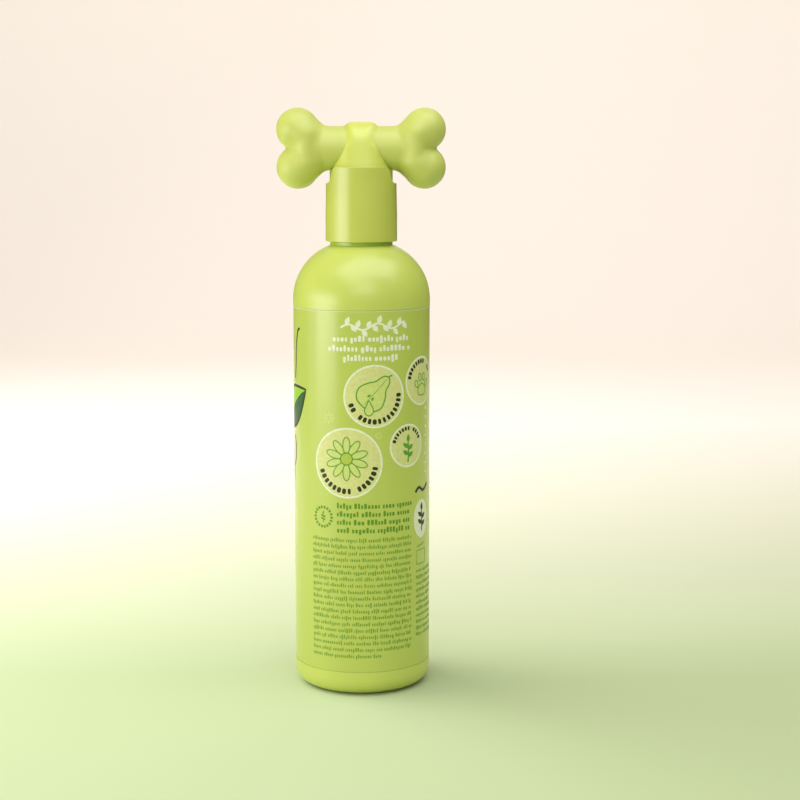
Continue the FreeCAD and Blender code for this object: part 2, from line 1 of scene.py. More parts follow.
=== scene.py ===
import math
import random

import bmesh
import bpy
import numpy as np
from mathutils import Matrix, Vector


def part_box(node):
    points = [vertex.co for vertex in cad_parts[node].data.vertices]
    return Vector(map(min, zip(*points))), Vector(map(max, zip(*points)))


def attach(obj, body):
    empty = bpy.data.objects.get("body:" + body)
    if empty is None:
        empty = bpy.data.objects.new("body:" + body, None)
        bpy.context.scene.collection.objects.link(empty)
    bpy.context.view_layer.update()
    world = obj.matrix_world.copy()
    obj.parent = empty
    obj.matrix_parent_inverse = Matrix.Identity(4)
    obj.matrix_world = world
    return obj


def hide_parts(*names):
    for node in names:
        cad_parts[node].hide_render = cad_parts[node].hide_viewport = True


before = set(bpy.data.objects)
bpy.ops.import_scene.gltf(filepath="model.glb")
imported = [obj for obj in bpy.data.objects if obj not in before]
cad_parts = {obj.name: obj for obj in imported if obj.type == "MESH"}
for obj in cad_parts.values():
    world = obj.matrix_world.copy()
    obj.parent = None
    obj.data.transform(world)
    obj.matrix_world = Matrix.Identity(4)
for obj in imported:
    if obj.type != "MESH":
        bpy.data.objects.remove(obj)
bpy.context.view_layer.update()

MM = 0.001

# ---------------------------------------------------------------- sizes read from the frame, in mm


def box_mm(node):
    """The low and high corners of a CAD node's box."""
    low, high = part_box(node)
    return [c / MM for c in low], [c / MM for c in high]


LABEL_HIGH = box_mm("label_wrap")[1]
COLLAR_HIGH = box_mm("outer_collar")[1]
STRAP_LOW, STRAP_HIGH = box_mm("saddle_strap")
FRONT_LOW, FRONT_HIGH = box_mm("bone_front_shell")
LABEL_R = LABEL_HIGH[0]
LABEL_TOP = LABEL_HIGH[2]
COLLAR_TOP = COLLAR_HIGH[2]
BONE_HALF = FRONT_HIGH[0]
BONE_Z = (FRONT_LOW[2] + FRONT_HIGH[2]) / 2
BONE_TALL = (FRONT_HIGH[2] - FRONT_LOW[2]) / 2


def colour(red, green, blue):
    """A linear colour from the usual 0 to 255 numbers."""
    parts = [part / 255 for part in (red, green, blue)]
    return tuple(p / 12.92 if p <= 0.04045 else ((p + 0.055) / 1.055) ** 2.4 for p in parts)


# ---------------------------------------------------------------- materials

# Depths, heights and the edge radius are in metres here. GLOW_RADIUS is a share of GLOW_DEPTH for each
# of red, green and blue.

BAND_FADE = 0.0005
EDGE_RADIUS = 0.00022
GRAIN_DEPTH = 0.00002
SINK_DEPTH = 0.0003
PLASTIC_IOR = 1.5
PLASTIC_SHINE = 0.85
GLOW_RADIUS = (0.9, 1.0, 0.35)
GLOW_DEPTH = 0.0015
INK_ROUGH = (0.36, 0.45)


class Nodes:
    """A material's node tree, with short ways to add to it."""

    def __init__(self, name):
        self.material = bpy.data.materials.new(name)
        self.material.use_nodes = True
        self.tree = self.material.node_tree
        self.shader = next(n for n in self.tree.nodes if n.type == "BSDF_PRINCIPLED")
        self.place = self.add("ShaderNodeTexCoord").outputs["Object"]

    def add(self, kind, **settings):
        """A new node with its settings."""
        node = self.tree.nodes.new(kind)
        for key, setting in settings.items():
            setattr(node, key, setting)
        return node

    def link(self, source, target):
        self.tree.links.new(source, target)

    def noise(self, scale, detail=2.0, stretch=(1, 1, 1)):
        """Noise with a scale in features a metre."""
        mapping = self.add("ShaderNodeMapping")
        mapping.inputs["Scale"].default_value = stretch
        self.link(self.place, mapping.inputs["Vector"])
        node = self.add("ShaderNodeTexNoise")
        node.inputs["Scale"].default_value = scale
        node.inputs["Detail"].default_value = detail
        self.link(mapping.outputs["Vector"], node.inputs["Vector"])
        return node.outputs["Fac"]

    def spread(self, source, low, high, start=0.3, end=0.7):
        """Maps start to end of the source on to low to high, and holds it there outside."""
        node = self.add("ShaderNodeMapRange")
        node.inputs["From Min"].default_value = start
        node.inputs["From Max"].default_value = end
        node.inputs["To Min"].default_value = low
        node.inputs["To Max"].default_value = high
        self.link(source, node.inputs["Value"])
        return node.outputs["Result"]

    def band(self, low, high):
        """1 between two heights and 0 elsewhere, with a short fade at each."""
        split = self.add("ShaderNodeSeparateXYZ")
        self.link(self.place, split.inputs["Vector"])
        height = split.outputs["Z"]
        both = self.add("ShaderNodeMath", operation="MULTIPLY")
        self.link(self.spread(height, 0, 1, low, low + BAND_FADE), both.inputs[0])
        self.link(self.spread(height, 1, 0, high, high + BAND_FADE), both.inputs[1])
        return both.outputs["Value"]

    def blend(self, factor, first, second):
        """A mix of two colours, each a tuple or another node's output."""
        node = self.add("ShaderNodeMix", data_type="RGBA")
        self.link(factor, node.inputs["Factor"])
        for socket, shade in ((node.inputs[6], first), (node.inputs[7], second)):
            if isinstance(shade, tuple):
                socket.default_value = (*shade, 1)
            else:
                self.link(shade, socket)
        return node.outputs[2]

    def bump(self, height, depth, strength, after=None):
        """A bump from a height, on top of another normal if one is given."""
        node = self.add("ShaderNodeBump")
        node.inputs["Strength"].default_value = strength
        node.inputs["Distance"].default_value = depth
        self.link(height, node.inputs["Height"])
        if after is not None:
            self.link(after, node.inputs["Normal"])
        return node.outputs["Normal"]

    def value(self, socket, number):
        """Sets a socket of the shader."""
        self.shader.inputs[socket].default_value = number

    def feed(self, socket, source):
        """Links a node's output to a socket of the shader."""
        self.link(source, self.shader.inputs[socket])


def shade_of(base, factor):
    """A colour made darker or lighter."""
    return tuple(min(1.0, part * factor) for part in base)


def plastic(name, base, rough, glow, flow=(1, 1, 1), sink=0.04, ring=None):
    """Satin moulded plastic: cloudy flow in the colour, fine grain, shallow sinks and softened edges.
    A ring is a pair of heights between which it is a deeper green: painted shade that stands for the
    shadow under the collar."""
    nodes = Nodes(name)
    cloud = nodes.spread(nodes.noise(38, 3, flow), 0, 1)
    paint = nodes.blend(cloud, shade_of(base, 0.97), shade_of(base, 1.03))
    if ring is not None:
        # Painted shade: a deeper green between the ring's heights, for the shadow under the collar.
        paint = nodes.blend(nodes.band(*ring), paint, NECK_SHADE_GREEN)
    nodes.feed("Base Color", paint)
    nodes.feed("Roughness", nodes.spread(nodes.noise(160, 2), *rough, 0, 1))
    edges = nodes.add("ShaderNodeBevel", samples=4)
    edges.inputs["Radius"].default_value = EDGE_RADIUS
    grain = nodes.bump(nodes.noise(5200, 2), GRAIN_DEPTH, 0.05, edges.outputs["Normal"])
    nodes.feed("Normal", nodes.bump(nodes.noise(40, 1, flow), SINK_DEPTH, sink, grain))
    nodes.value("IOR", PLASTIC_IOR)
    nodes.value("Specular IOR Level", PLASTIC_SHINE)
    nodes.value("Subsurface Weight", glow)
    nodes.value("Subsurface Radius", GLOW_RADIUS)
    nodes.value("Subsurface Scale", GLOW_DEPTH)
    return nodes.material


def print_ink(name, base):
    """Ink on film: a little uneven in its cover, with a faint raised grain."""
    nodes = Nodes(name)
    cover = nodes.spread(nodes.noise(900, 2), 0, 1)
    nodes.feed("Base Color", nodes.blend(cover, shade_of(base, 0.94), shade_of(base, 1.05)))
    nodes.feed("Roughness", nodes.spread(nodes.noise(400, 1), *INK_ROUGH))
    nodes.feed("Normal", nodes.bump(nodes.noise(4200, 1), 0.00001, 0.12))
    return nodes.material


def soft(name, base, scale, rough):
    """Foam or rubber: small cells in the bump and an even, dull surface."""
    nodes = Nodes(name)
    cells = nodes.spread(nodes.noise(700), 0, 1)
    nodes.feed("Base Color", nodes.blend(cells, shade_of(base, 0.9), base))
    nodes.feed("Roughness", nodes.spread(nodes.noise(300), rough, rough + 0.1))
    nodes.feed("Normal", nodes.bump(nodes.noise(scale, 3), 0.00005, 0.3))
    return nodes.material


BOTTLE_GREEN = colour(199, 212, 97)
LABEL_GREEN = colour(191, 207, 91)
CAP_GREEN = colour(195, 203, 88)
BONE_GREEN = colour(201, 209, 101)
# Painted shade: a deeper green on the bottle's neck between two heights in metres, for the shadow under
# the collar.
NECK_SHADE_GREEN = colour(174, 205, 62)
NECK_SHADE_BAND = (0.1686, 0.1706)
INK_COLOURS = {
    "white": colour(232, 238, 208),
    "pale": colour(206, 218, 124),
    "cream": colour(216, 218, 142),
    "lime": colour(150, 205, 40),
    "leaf": colour(92, 158, 44),
    "mid": colour(122, 160, 46),
    "heart": colour(178, 198, 78),
    "deep": colour(96, 148, 28),
    "teal": colour(34, 94, 46),
    "dark": colour(34, 44, 18),
}

plastics = {
    # The bottle's neck band is painted shade under the collar.
    "bottle": plastic(
        "bottle_plastic", BOTTLE_GREEN, (0.28, 0.34), 0.2, flow=(1, 1, 0.35), ring=NECK_SHADE_BAND
    ),
    "collar": plastic("collar_plastic", CAP_GREEN, (0.27, 0.31), 0.1, flow=(1, 1, 0.5)),
    # Painted light: the strap is the cap green made 1.2 times lighter, for the light its front face
    # catches.
    "strap": plastic("strap_painted_light_plastic", shade_of(CAP_GREEN, 1.2), (0.36, 0.4), 0.1),
    "cap": plastic("cap_plastic", shade_of(CAP_GREEN, 0.92), (0.28, 0.34), 0.1),
    "bone": plastic("bone_plastic", BONE_GREEN, (0.46, 0.5), 0.14, flow=(0.4, 1, 1)),
}
label_film = plastic(
    "label_film", LABEL_GREEN, (0.25, 0.28), 0.08, flow=(1, 1, 0.2), sink=0.015
)
inks = {name: print_ink(f"ink_{name}", shade) for name, shade in INK_COLOURS.items()}


def coat(thing, material):
    """Gives an object one material."""
    thing.data.materials.clear()
    thing.data.materials.append(material)


# ---------------------------------------------------------------- meshes


SHARP_ANGLE = math.radians(40)


def add_piece(name, points, faces, body, material):
    """A mesh object from points in mm, riding on a body."""
    mesh = bpy.data.meshes.new(name)
    mesh.from_pydata([tuple(float(c) * MM for c in point) for point in points], [], faces)
    mesh.update()
    thing = bpy.data.objects.new(name, mesh)
    bpy.context.scene.collection.objects.link(thing)
    mesh.shade_smooth()
    mesh.set_sharp_from_angle(angle=SHARP_ANGLE)
    coat(thing, material)
    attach(thing, body)
    return thing


# ---------------------------------------------------------------- rounded solids from distances


def filleted(first, second, radius):
    """The union of two distances, with a hollow fillet where they meet."""
    corner = np.hypot(np.maximum(radius - first, 0), np.maximum(radius - second, 0))
    return np.maximum(radius, np.minimum(first, second)) - corner


def rounded(first, second, radius):
    """The overlap of two distances, with a rounded edge where they meet."""
    return -filleted(-first, -second, radius)


def ellipsoid(across, depth, up, radius, deep):
    """Distance to a ball that is stretched in depth."""
    return np.sqrt(across**2 + (depth * radius / deep) ** 2 + up**2) - radius


def settle(points, distance, rounds=4):
    """Moves points along the slope of a distance until they lie on its surface."""
    step = 0.01
    furthest = 0.5
    for _ in range(rounds):
        here = distance(points)
        slope = np.empty_like(points)
        for axis in range(3):
            ahead = points.copy()
            ahead[:, axis] += step
            slope[:, axis] = (distance(ahead) - here) / step
        move = slope * (here / np.maximum((slope**2).sum(1), 0.05))[:, None]
        points = points - np.clip(move, -furthest, furthest)
    return points


def relax(points, edges):
    """Each point moves half way to the middle of its neighbours."""
    total = np.zeros_like(points)
    count = np.zeros(len(points))
    for near, far in ((0, 1), (1, 0)):
        np.add.at(total, edges[:, near], points[edges[:, far]])
        np.add.at(count, edges[:, near], 1)
    return 0.5 * points + 0.5 * total / count[:, None]


def crossings(inside, axis):
    """Where the surface crosses the grid between each point and the next one along an axis."""
    crossed = inside != np.roll(inside, -1, axis)
    crossed[(slice(None),) * axis + (-1,)] = False
    return crossed


def skin_of(distance, low, high, cell, smoothing=4):
    """The surface where a distance is 0, as points and four-sided faces on an even grid of cells."""
    low = np.array(low, float)
    shape = np.ceil((np.array(high, float) - low) / cell).astype(int) + 1
    corners = np.stack(np.meshgrid(*[np.arange(n) for n in shape], indexing="ij"), -1)
    field = distance(low + corners.reshape(-1, 3) * cell).reshape(shape)
    inside = field < 0
    total = np.zeros((*(shape - 1), 3))
    count = np.zeros(shape - 1)
    for axis in range(3):
        ahead = np.roll(field, -1, axis)
        crossed = crossings(inside, axis)
        share = np.where(crossed, field / np.where(crossed, field - ahead, 1), 0)
        place = corners.astype(float)
        place[..., axis] += share
        others = [other for other in range(3) if other != axis]
        for first in (0, 1):
            for second in (0, 1):
                cut = [slice(0, n - 1) for n in shape]
                cut[others[0]] = slice(first, shape[others[0]] - 1 + first)
                cut[others[1]] = slice(second, shape[others[1]] - 1 + second)
                total += np.where(crossed[tuple(cut)][..., None], place[tuple(cut)], 0)
                count += crossed[tuple(cut)]
    number = np.full(shape - 1, -1)
    number[count > 0] = np.arange((count > 0).sum())
    points = low + total[count > 0] / count[count > 0][:, None] * cell
    quads = []
    for axis in range(3):
        at = np.argwhere(crossings(inside, axis))
        one = np.eye(3, dtype=int)[(axis + 1) % 3]
        two = np.eye(3, dtype=int)[(axis + 2) % 3]
        none = np.zeros(3, dtype=int)
        loop = [number[tuple((at - shift).T)] for shift in (one + two, two, none, one)]
        quad = np.stack(loop, 1)
        outward = inside[tuple(at.T)]
        quad[~outward] = quad[~outward][:, ::-1]
        quads.append(quad)
    quads = np.concatenate(quads)
    sides = np.concatenate([quads[:, [i, (i + 1) % 4]] for i in range(4)])
    edges = np.unique(np.sort(sides, 1), axis=0)
    points = settle(points, distance)
    for _ in range(smoothing):
        points = settle(relax(points, edges), distance, 2)
    return points, quads.tolist()


# ---------------------------------------------------------------- the bone lever

# Sizes of the bone's skin, in mm about its own centre.

SHAFT_R = 8.27
SHAFT_END = 15.0
LOBE_R = 8.05
LOBE_DEPTH = 9.2
LOBE_X = BONE_HALF - LOBE_R
LOBE_Z = BONE_TALL - LOBE_R
WEB_X = 20.3
WEB_Z = 4.8
WEB_R = 5.9
WEB_DEPTH = 9.8
LOBE_FILLET = 3.8
WEB_FILLET = 1.8
NOTCH_FILLET = 1.3
BONE_CELL = 0.55
BONE_MARGIN = 1
SEAM = 0.03
RIM = 0.12


def bone_distance(points):
    """Signed distance, in mm, to the bone about its own centre."""
    across, depth, up = np.abs(points[:, 0]), points[:, 1], np.abs(points[:, 2])
    shaft = ellipsoid(np.maximum(across - SHAFT_END, 0), depth, up, SHAFT_R, SHAFT_R)
    near = ellipsoid(across - LOBE_X, depth, up - LOBE_Z, LOBE_R, LOBE_DEPTH)
    mirror = ellipsoid(across - LOBE_X, depth, up + LOBE_Z, LOBE_R, LOBE_DEPTH)
    lobe = filleted(near, mirror, NOTCH_FILLET)
    web = ellipsoid(across - WEB_X, depth, np.maximum(up - WEB_Z, 0), WEB_R, WEB_DEPTH)
    return filleted(filleted(lobe, shaft, LOBE_FILLET), web, WEB_FILLET)


def half_of(points, faces, side):
    """The part of a closed skin on one side of y = 0, closed with a flat face and a fine rounded rim,
    so that the two halves meet in a hairline."""
    work = bmesh.new()
    verts = [work.verts.new(point) for point in points]
    for face in faces:
        work.faces.new([verts[i] for i in face])
    bmesh.ops.bisect_plane(
        work,
        geom=work.verts[:] + work.edges[:] + work.faces[:],
        plane_co=(0, side * SEAM, 0),
        plane_no=(0, -side, 0),
        clear_outer=True,
        dist=1e-5,
    )
    rim = [edge for edge in work.edges if edge.is_boundary]
    caps = bmesh.ops.holes_fill(work, edges=rim, sides=0)["faces"]
    bmesh.ops.recalc_face_normals(work, faces=work.faces[:])
    around = [edge for face in caps for edge in face.edges]
    bmesh.ops.bevel(work, geom=around, offset=RIM, segments=2, affect="EDGES")
    work.verts.index_update()
    kept = [tuple(vert.co) for vert in work.verts]
    skin = [tuple(vert.index for vert in face.verts) for face in work.faces]
    work.free()
    return kept, skin


def add_bone():
    """The bone's two halves, around the CAD's shells."""
    reach = [size + BONE_MARGIN for size in (BONE_HALF, LOBE_DEPTH, BONE_TALL)]
    points, faces = skin_of(bone_distance, [-size for size in reach], reach, BONE_CELL)
    for side, where in ((-1, "front"), (1, "rear")):
        half, skin = half_of(points, faces, side)
        half = [(x, y, z + BONE_Z) for x, y, z in half]
        piece = add_piece(f"bone_{where}_skin", half, skin, "lever", plastics["bone"])
        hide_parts(f"bone_{where}_shell")


# ---------------------------------------------------------------- the saddle strap

STRAP_R = STRAP_HIGH[2] - BONE_Z
STRAP_FOOT = 11.35
STRAP_DROP = BONE_Z - COLLAR_TOP
STRAP_CELL = 0.3
STRAP_MARGIN = (1.5, 1, 1)

# The faces in front and behind lean from the shaft out to the foot.
LEAN = math.acos(STRAP_R / math.hypot(STRAP_FOOT, STRAP_DROP)) - math.atan2(STRAP_DROP, STRAP_FOOT)

# Heights, with the strap's half width and the bell's radius at each.
STRAP_WIDTHS = (
    (190, 11.5), (197.2, 10.7), (198.9, 9.85), (200.9, 8.45), (203.7, 6.6),
    (206, 5.65), (208.6, 5.25), (211, 5.55), (213.2, 6.35), (216, 7.6),
)
BELL_ROUNDS = (
    (190, 11.85), (196.6, 11.85), (198.1, 11.42), (200.8, 10.95), (203.5, 10.8), (216, 10.8),
)

# The sides slope outwards over the shaft and turn into steep walls below it.
SLOPE = math.radians(31)
WALL = math.radians(80)
STEEP_FROM = 207.2
STEEP_SPAN = 4.2
SIDE_OVERHANG = 0.35

# The hidden hollow for the rocker and the shaft, and the legs in front of it and behind it.
HOLLOW_DEPTH = 7.24
HOLLOW_TOP = 200.8
HOLLOW_SIDE = 7.2
HOLLOW_TAPER = 2.6
SHAFT_OVERLAP = 0.9
LEG_TOP = 197.7
LEG_HALF = 5.3
LEG_DEPTH = 9.6

BELL_EDGE = 1.9
SIDE_EDGE = 0.55
HOLLOW_EDGE = 0.3


def eased(height, table):
    """A smooth line through a table of heights and values."""
    heights, values = (np.array(column, float) for column in zip(*table))
    shifts = (-0.6, -0.3, 0, 0.3, 0.6)
    return sum(np.interp(height + shift, heights, values) for shift in shifts) / 5


def strap_distance(points):
    """Signed distance, in mm, to the strap: a bell-fronted cover over the shaft, on two legs."""
    across, depth, height = np.abs(points[:, 0]), np.abs(points[:, 1]), points[:, 2]
    rise = height - BONE_Z
    ring = np.hypot(depth, rise)
    below = depth * math.sin(LEAN) - rise * math.cos(LEAN) > 0
    face = np.where(below, depth * math.cos(LEAN) + rise * math.sin(LEAN), ring) - STRAP_R
    bell = np.hypot(across, depth) - eased(height, BELL_ROUNDS)
    outer = rounded(face, bell, BELL_EDGE)
    steep = np.clip((STEEP_FROM - height) / STEEP_SPAN, 0, 1)
    tilt = SLOPE + (WALL - SLOPE) * steep * steep * (3 - 2 * steep)
    past = across - eased(height, STRAP_WIDTHS)
    side = past * np.sin(tilt) + (ring - SHAFT_R) * np.cos(tilt)
    shape = rounded(outer, np.maximum(side, past - SIDE_OVERHANG), SIDE_EDGE)
    hollow = HOLLOW_DEPTH - HOLLOW_TAPER * np.clip(across - HOLLOW_SIDE, 0, 1)
    room = np.maximum(depth - hollow, height - HOLLOW_TOP)
    room = np.minimum(ring - SHAFT_R + SHAFT_OVERLAP, room)
    legs = np.maximum(across - LEG_HALF, LEG_DEPTH - depth)
    shape = np.maximum(shape, np.minimum(LEG_TOP - height, legs))
    return rounded(np.maximum(shape, STRAP_LOW[2] - height), -room, HOLLOW_EDGE)


def add_strap():
    """The strap's skin, around the CAD's strap."""
    low = [edge - room for edge, room in zip(STRAP_LOW, STRAP_MARGIN)]
    high = [edge + room for edge, room in zip(STRAP_HIGH, STRAP_MARGIN)]
    points, faces = skin_of(strap_distance, low, high, STRAP_CELL, 2)
    piece = add_piece("saddle_strap_skin", points, faces, "lever", plastics["strap"])
    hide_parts("saddle_strap")


# ---------------------------------------------------------------- print on the label

# Print is drawn flat, in mm along the label (0 faces the camera, + to the right) and mm of height.
# It is then wrapped round the film as thin closed plates, each layer a little prouder than the last.

FILM_BACK = 0.07
LAYERS = (0.02, 0.034, 0.048, 0.061, 0.072)
WRAP_STEP = 1.3


def along(degrees):
    """Where an angle round the bottle falls along the label, in mm."""
    return math.radians(degrees) * LABEL_R


def turned_point(point, angle):
    """A point turned about the origin."""
    x, y = point
    return x * math.cos(angle) - y * math.sin(angle), x * math.sin(angle) + y * math.cos(angle)


def placed(points, centre, size=1.0, angle=0.0):
    """A small drawing's points scaled, turned and moved to its place."""
    moved = (turned_point((x * size, y * size), angle) for x, y in points)
    return [(centre[0] + x, centre[1] + y) for x, y in moved]


def full_turn(count):
    """Angles at even steps once round."""
    return np.linspace(0, 2 * math.pi, count, endpoint=False)


def oval(centre, wide, tall, count, angle=0.0):
    """An ellipse from its two half widths."""
    ring = [(wide * math.cos(turn), tall * math.sin(turn)) for turn in full_turn(count)]
    return placed(ring, centre, 1.0, angle)


def between(a, b, c, d, t):
    """A value part of the way from b to c, with a and d on either side (Catmull-Rom)."""
    bend = (2 * a - 5 * b + 4 * c - d) * t * t
    return 0.5 * (2 * b + (c - a) * t + bend + (3 * b - a - 3 * c + d) * t**3)


def curve(points, closed=False, steps=6):
    """A smooth line through the points."""
    count = len(points)
    spans = count if closed else count - 1
    line = []
    for span in range(spans):
        near = []
        for offset in (-1, 0, 1, 2):
            index = span + offset
            near.append(points[index % count] if closed else points[min(max(index, 0), count - 1)])
        across, up = zip(*near)
        for step in range(steps):
            part = step / steps
            line.append((between(*across, part), between(*up, part)))
    if not closed:
        line.append(tuple(points[-1]))
    return line


class Print:
    """One colour of print: flat outlines and strokes that become one wrapped piece."""

    def __init__(self, name, ink, layer):
        self.name = name
        self.ink = ink
        self.layer = layer
        self.flat = bmesh.new()

    def fill(self, outline):
        """A filled outline, in either direction."""
        pairs = zip(outline, [*outline[1:], outline[0]])
        area = sum(a[0] * b[1] - b[0] * a[1] for a, b in pairs)
        points = outline if area > 0 else outline[::-1]
        self.flat.faces.new([self.flat.verts.new((x, y, 0)) for x, y in points])

    def stroke(self, line, width, closed=False):
        """A ribbon of even width along a line."""
        count = len(line)
        left, right = [], []
        for index, (x, y) in enumerate(line):
            before = line[index - 1] if closed or index else line[index]
            after = line[(index + 1) % count] if closed or index < count - 1 else line[index]
            heading = math.atan2(after[1] - before[1], after[0] - before[0])
            side = (-math.sin(heading) * width / 2, math.cos(heading) * width / 2)
            left.append(self.flat.verts.new((x + side[0], y + side[1], 0)))
            right.append(self.flat.verts.new((x - side[0], y - side[1], 0)))
        for index in range(count if closed else count - 1):
            after = (index + 1) % count
            self.flat.faces.new((right[index], right[after], left[after], left[index]))

    def ring(self, centre, radius, width):
        self.stroke(oval(centre, radius, radius, 72), width, True)

    def block(self, centre, wide, tall, angle=0.0):
        """A small block with cut corners, which stands for one letter."""
        cut = 0.28 * min(wide, tall)
        half, high = wide / 2, tall / 2
        corners = []
        for sx, sy in ((1, -1), (1, 1), (-1, 1), (-1, -1)):
            first, second = (sx * half, sy * (high - cut)), (sx * (half - cut), sy * high)
            corners += [second, first] if sx * sy < 0 else [first, second]
        self.fill(placed(corners, centre, 1.0, angle))

    def piece(self):
        """Cuts the flat print into narrow strips, wraps it and closes it."""
        flat = self.flat
        reach = [v.co.x for v in flat.verts]
        cut = math.ceil(min(reach) / WRAP_STEP) * WRAP_STEP
        while cut < max(reach):
            bmesh.ops.bisect_plane(
                flat,
                geom=flat.verts[:] + flat.edges[:] + flat.faces[:],
                plane_co=(cut, 0, 0),
                plane_no=(1, 0, 0),
                dist=1e-4,
            )
            cut += WRAP_STEP
        bmesh.ops.triangulate(flat, faces=flat.faces[:], ngon_method="EAR_CLIP")
        flat.verts.index_update()
        top = [wrapped(v.co.x, v.co.y, LABEL_R + LAYERS[self.layer]) for v in flat.verts]
        base = [wrapped(v.co.x, v.co.y, LABEL_R - FILM_BACK) for v in flat.verts]
        shift = len(top)
        faces = []
        for face in flat.faces:
            loop = [v.index for v in face.verts]
            faces.append(loop)
            faces.append([index + shift for index in reversed(loop)])
        for edge in flat.edges:
            if edge.is_boundary:
                corner = edge.link_loops[0]
                a, b = corner.vert.index, corner.link_loop_next.vert.index
                faces.append([b, a, a + shift, b + shift])
        flat.free()
        return add_piece(self.name, top + base, faces, "bottle", inks[self.ink])


def wrapped(distance, height, radius):
    """The place on the bottle of a point on the flat label, at a radius."""
    turn = distance / LABEL_R
    return radius * math.sin(turn), -radius * math.cos(turn), height


def print_line(ink, rng, start, end, base, size, words, widths=(0.38, 0.68)):
    """One line of small print: blocks in word-like groups, some taller, none of them letters.
    words is the fewest and most blocks in a group, and widths the narrowest and widest, in sizes."""
    at = start
    while True:
        for _ in range(rng.randint(*words)):
            wide = size * rng.uniform(*widths)
            tall = size * (1.45 if rng.random() < 0.3 else 1.0)
            drop = size * 0.4 if rng.random() < 0.12 else 0.0
            if at + wide > end:
                return
            ink.block((at + wide / 2, base + (tall - drop) / 2), wide, tall + drop)
            at += wide + size * 0.28
        at += size * 0.5


def arc_print(ink, rng, centre, radius, start, end, size):
    """Blocks round an arc, from one angle to another in degrees, their tops away from the centre."""
    angle = start
    step = math.degrees(size * 0.95 / radius)
    while angle <= end:
        if rng.random() > 0.12:
            at = (
                centre[0] + radius * math.cos(math.radians(angle)),
                centre[1] + radius * math.sin(math.radians(angle)),
            )
            ink.block(at, size * rng.uniform(0.52, 0.76), size, math.radians(angle - 90))
        angle += step


# Outlines of small drawings, about 1 from their middle to their edge. Toes have a tilt, and a sprig's
# leaves have a height and a side.

PEAR = [
    (0, -1), (0.52, -0.9), (0.78, -0.45), (0.62, 0.05), (0.37, 0.4), (0.27, 0.78), (0.1, 0.98),
    (-0.1, 0.98), (-0.27, 0.78), (-0.37, 0.4), (-0.62, 0.05), (-0.78, -0.45), (-0.52, -0.9),
]
DROP = [
    (0, 1), (0.3, 0.45), (0.55, -0.1), (0.5, -0.62),
    (0, -0.95), (-0.5, -0.62), (-0.55, -0.1), (-0.3, 0.45),
]
PEAR_SHADE = [(0.1, -0.88), (0.62, -0.55), (0.5, 0.1), (0.28, 0.4), (0.42, -0.2), (0.3, -0.7)]
PAW_PAD = [(0, 0.12), (0.52, -0.28), (0.4, -0.74), (-0.4, -0.74), (-0.52, -0.28)]
PAW_TOES = ((-0.72, 0.12, 0.5), (-0.27, 0.6, 0.15), (0.27, 0.6, -0.15), (0.72, 0.12, -0.5))
SPRIG_LEAVES = ((-0.6, 1), (-0.45, -1), (-0.05, 1), (0.1, -1), (0.5, 0))


def leaf_outline(count, belly):
    """A leaf of length 1 from its stalk at the origin to its tip, along +x."""
    upper = [(t, belly * math.sin(math.pi * t**0.85)) for t in np.linspace(0, 1, count)]
    return upper + [(t, -y) for t, y in upper[-2:0:-1]]


def petal(angle, inner, outer, half):
    """A long oval petal that points away from the origin."""
    middle = (inner + outer) / 2
    long = (outer - inner) / 2
    shape = [(middle + long * math.cos(turn), half * math.sin(turn)) for turn in full_turn(20)]
    return [turned_point(point, angle) for point in shape]


def print_roundel(tag, centre, radius, words):
    """Disc, ring and an arc of blocks; words holds the arc's start and end in degrees and its size."""
    rng = random.Random(tag)
    disc = Print(f"print_{tag}_disc", "cream", 0)
    disc.fill(oval(centre, radius, radius, 64))
    disc.piece()
    ring = Print(f"print_{tag}_ring", "white", 1)
    ring.ring(centre, radius - 0.35, 0.7)
    ring.piece()
    blocks = Print(f"print_{tag}_words", "dark", 1)
    start, end, size = words
    arc_print(blocks, rng, centre, radius * 0.8, start, end, size)
    blocks.piece()


def print_pear(tag, centre, size, angle):
    """Half a pear in outline, with its seeds and a drop of oil."""
    body = Print(f"print_{tag}_fill", "pale", 1)
    outline = placed(curve(PEAR, True), centre, size, angle)
    body.fill(outline)
    body.piece()
    lines = Print(f"print_{tag}_lines", "leaf", 2)
    lines.stroke(outline, 0.5, True)
    lines.stroke(placed([(0, 0.98), (0.02, 1.1), (0.1, 1.22)], centre, size, angle), 0.55)
    lines.stroke(placed([(0, 0.85), (0, -0.85)], centre, size, angle), 0.2)
    for side in (-1, 1):
        seed = placed([(side * 0.12, -0.38)], centre, size, angle)[0]
        lines.fill(oval(seed, 0.1 * size, 0.06 * size, 12, angle + math.pi / 2 + side * 0.3))
    lines.piece()
    drop_at = placed([(0.32, -0.86)], centre, size, angle)[0]
    drop = placed(curve(DROP, True, 4), drop_at, size * 0.4)
    fill = Print(f"print_{tag}_drop", "pale", 3)
    fill.fill(drop)
    fill.piece()
    edge = Print(f"print_{tag}_drop_edge", "leaf", 4)
    edge.stroke(drop, 0.4, True)
    edge.piece()


def print_daisy(tag, centre, size):
    """Ten oval petals, pale with an outline, round a darker heart."""
    fill = Print(f"print_{tag}_fill", "pale", 1)
    lines = Print(f"print_{tag}_lines", "leaf", 2)
    for number in range(10):
        angle = math.pi / 2 + number * math.pi / 5
        shape = placed(petal(angle, size * 0.24, size, size * 0.165), centre)
        fill.fill(shape)
        lines.stroke(shape, 0.38, True)
    heart = oval(centre, size * 0.25, size * 0.25, 24)
    middle = Print(f"print_{tag}_heart", "heart", 3)
    middle.fill(heart)
    middle.piece()
    lines.stroke(oval(centre, size * 0.27, size * 0.27, 24), 0.6, True)
    fill.piece()
    lines.piece()


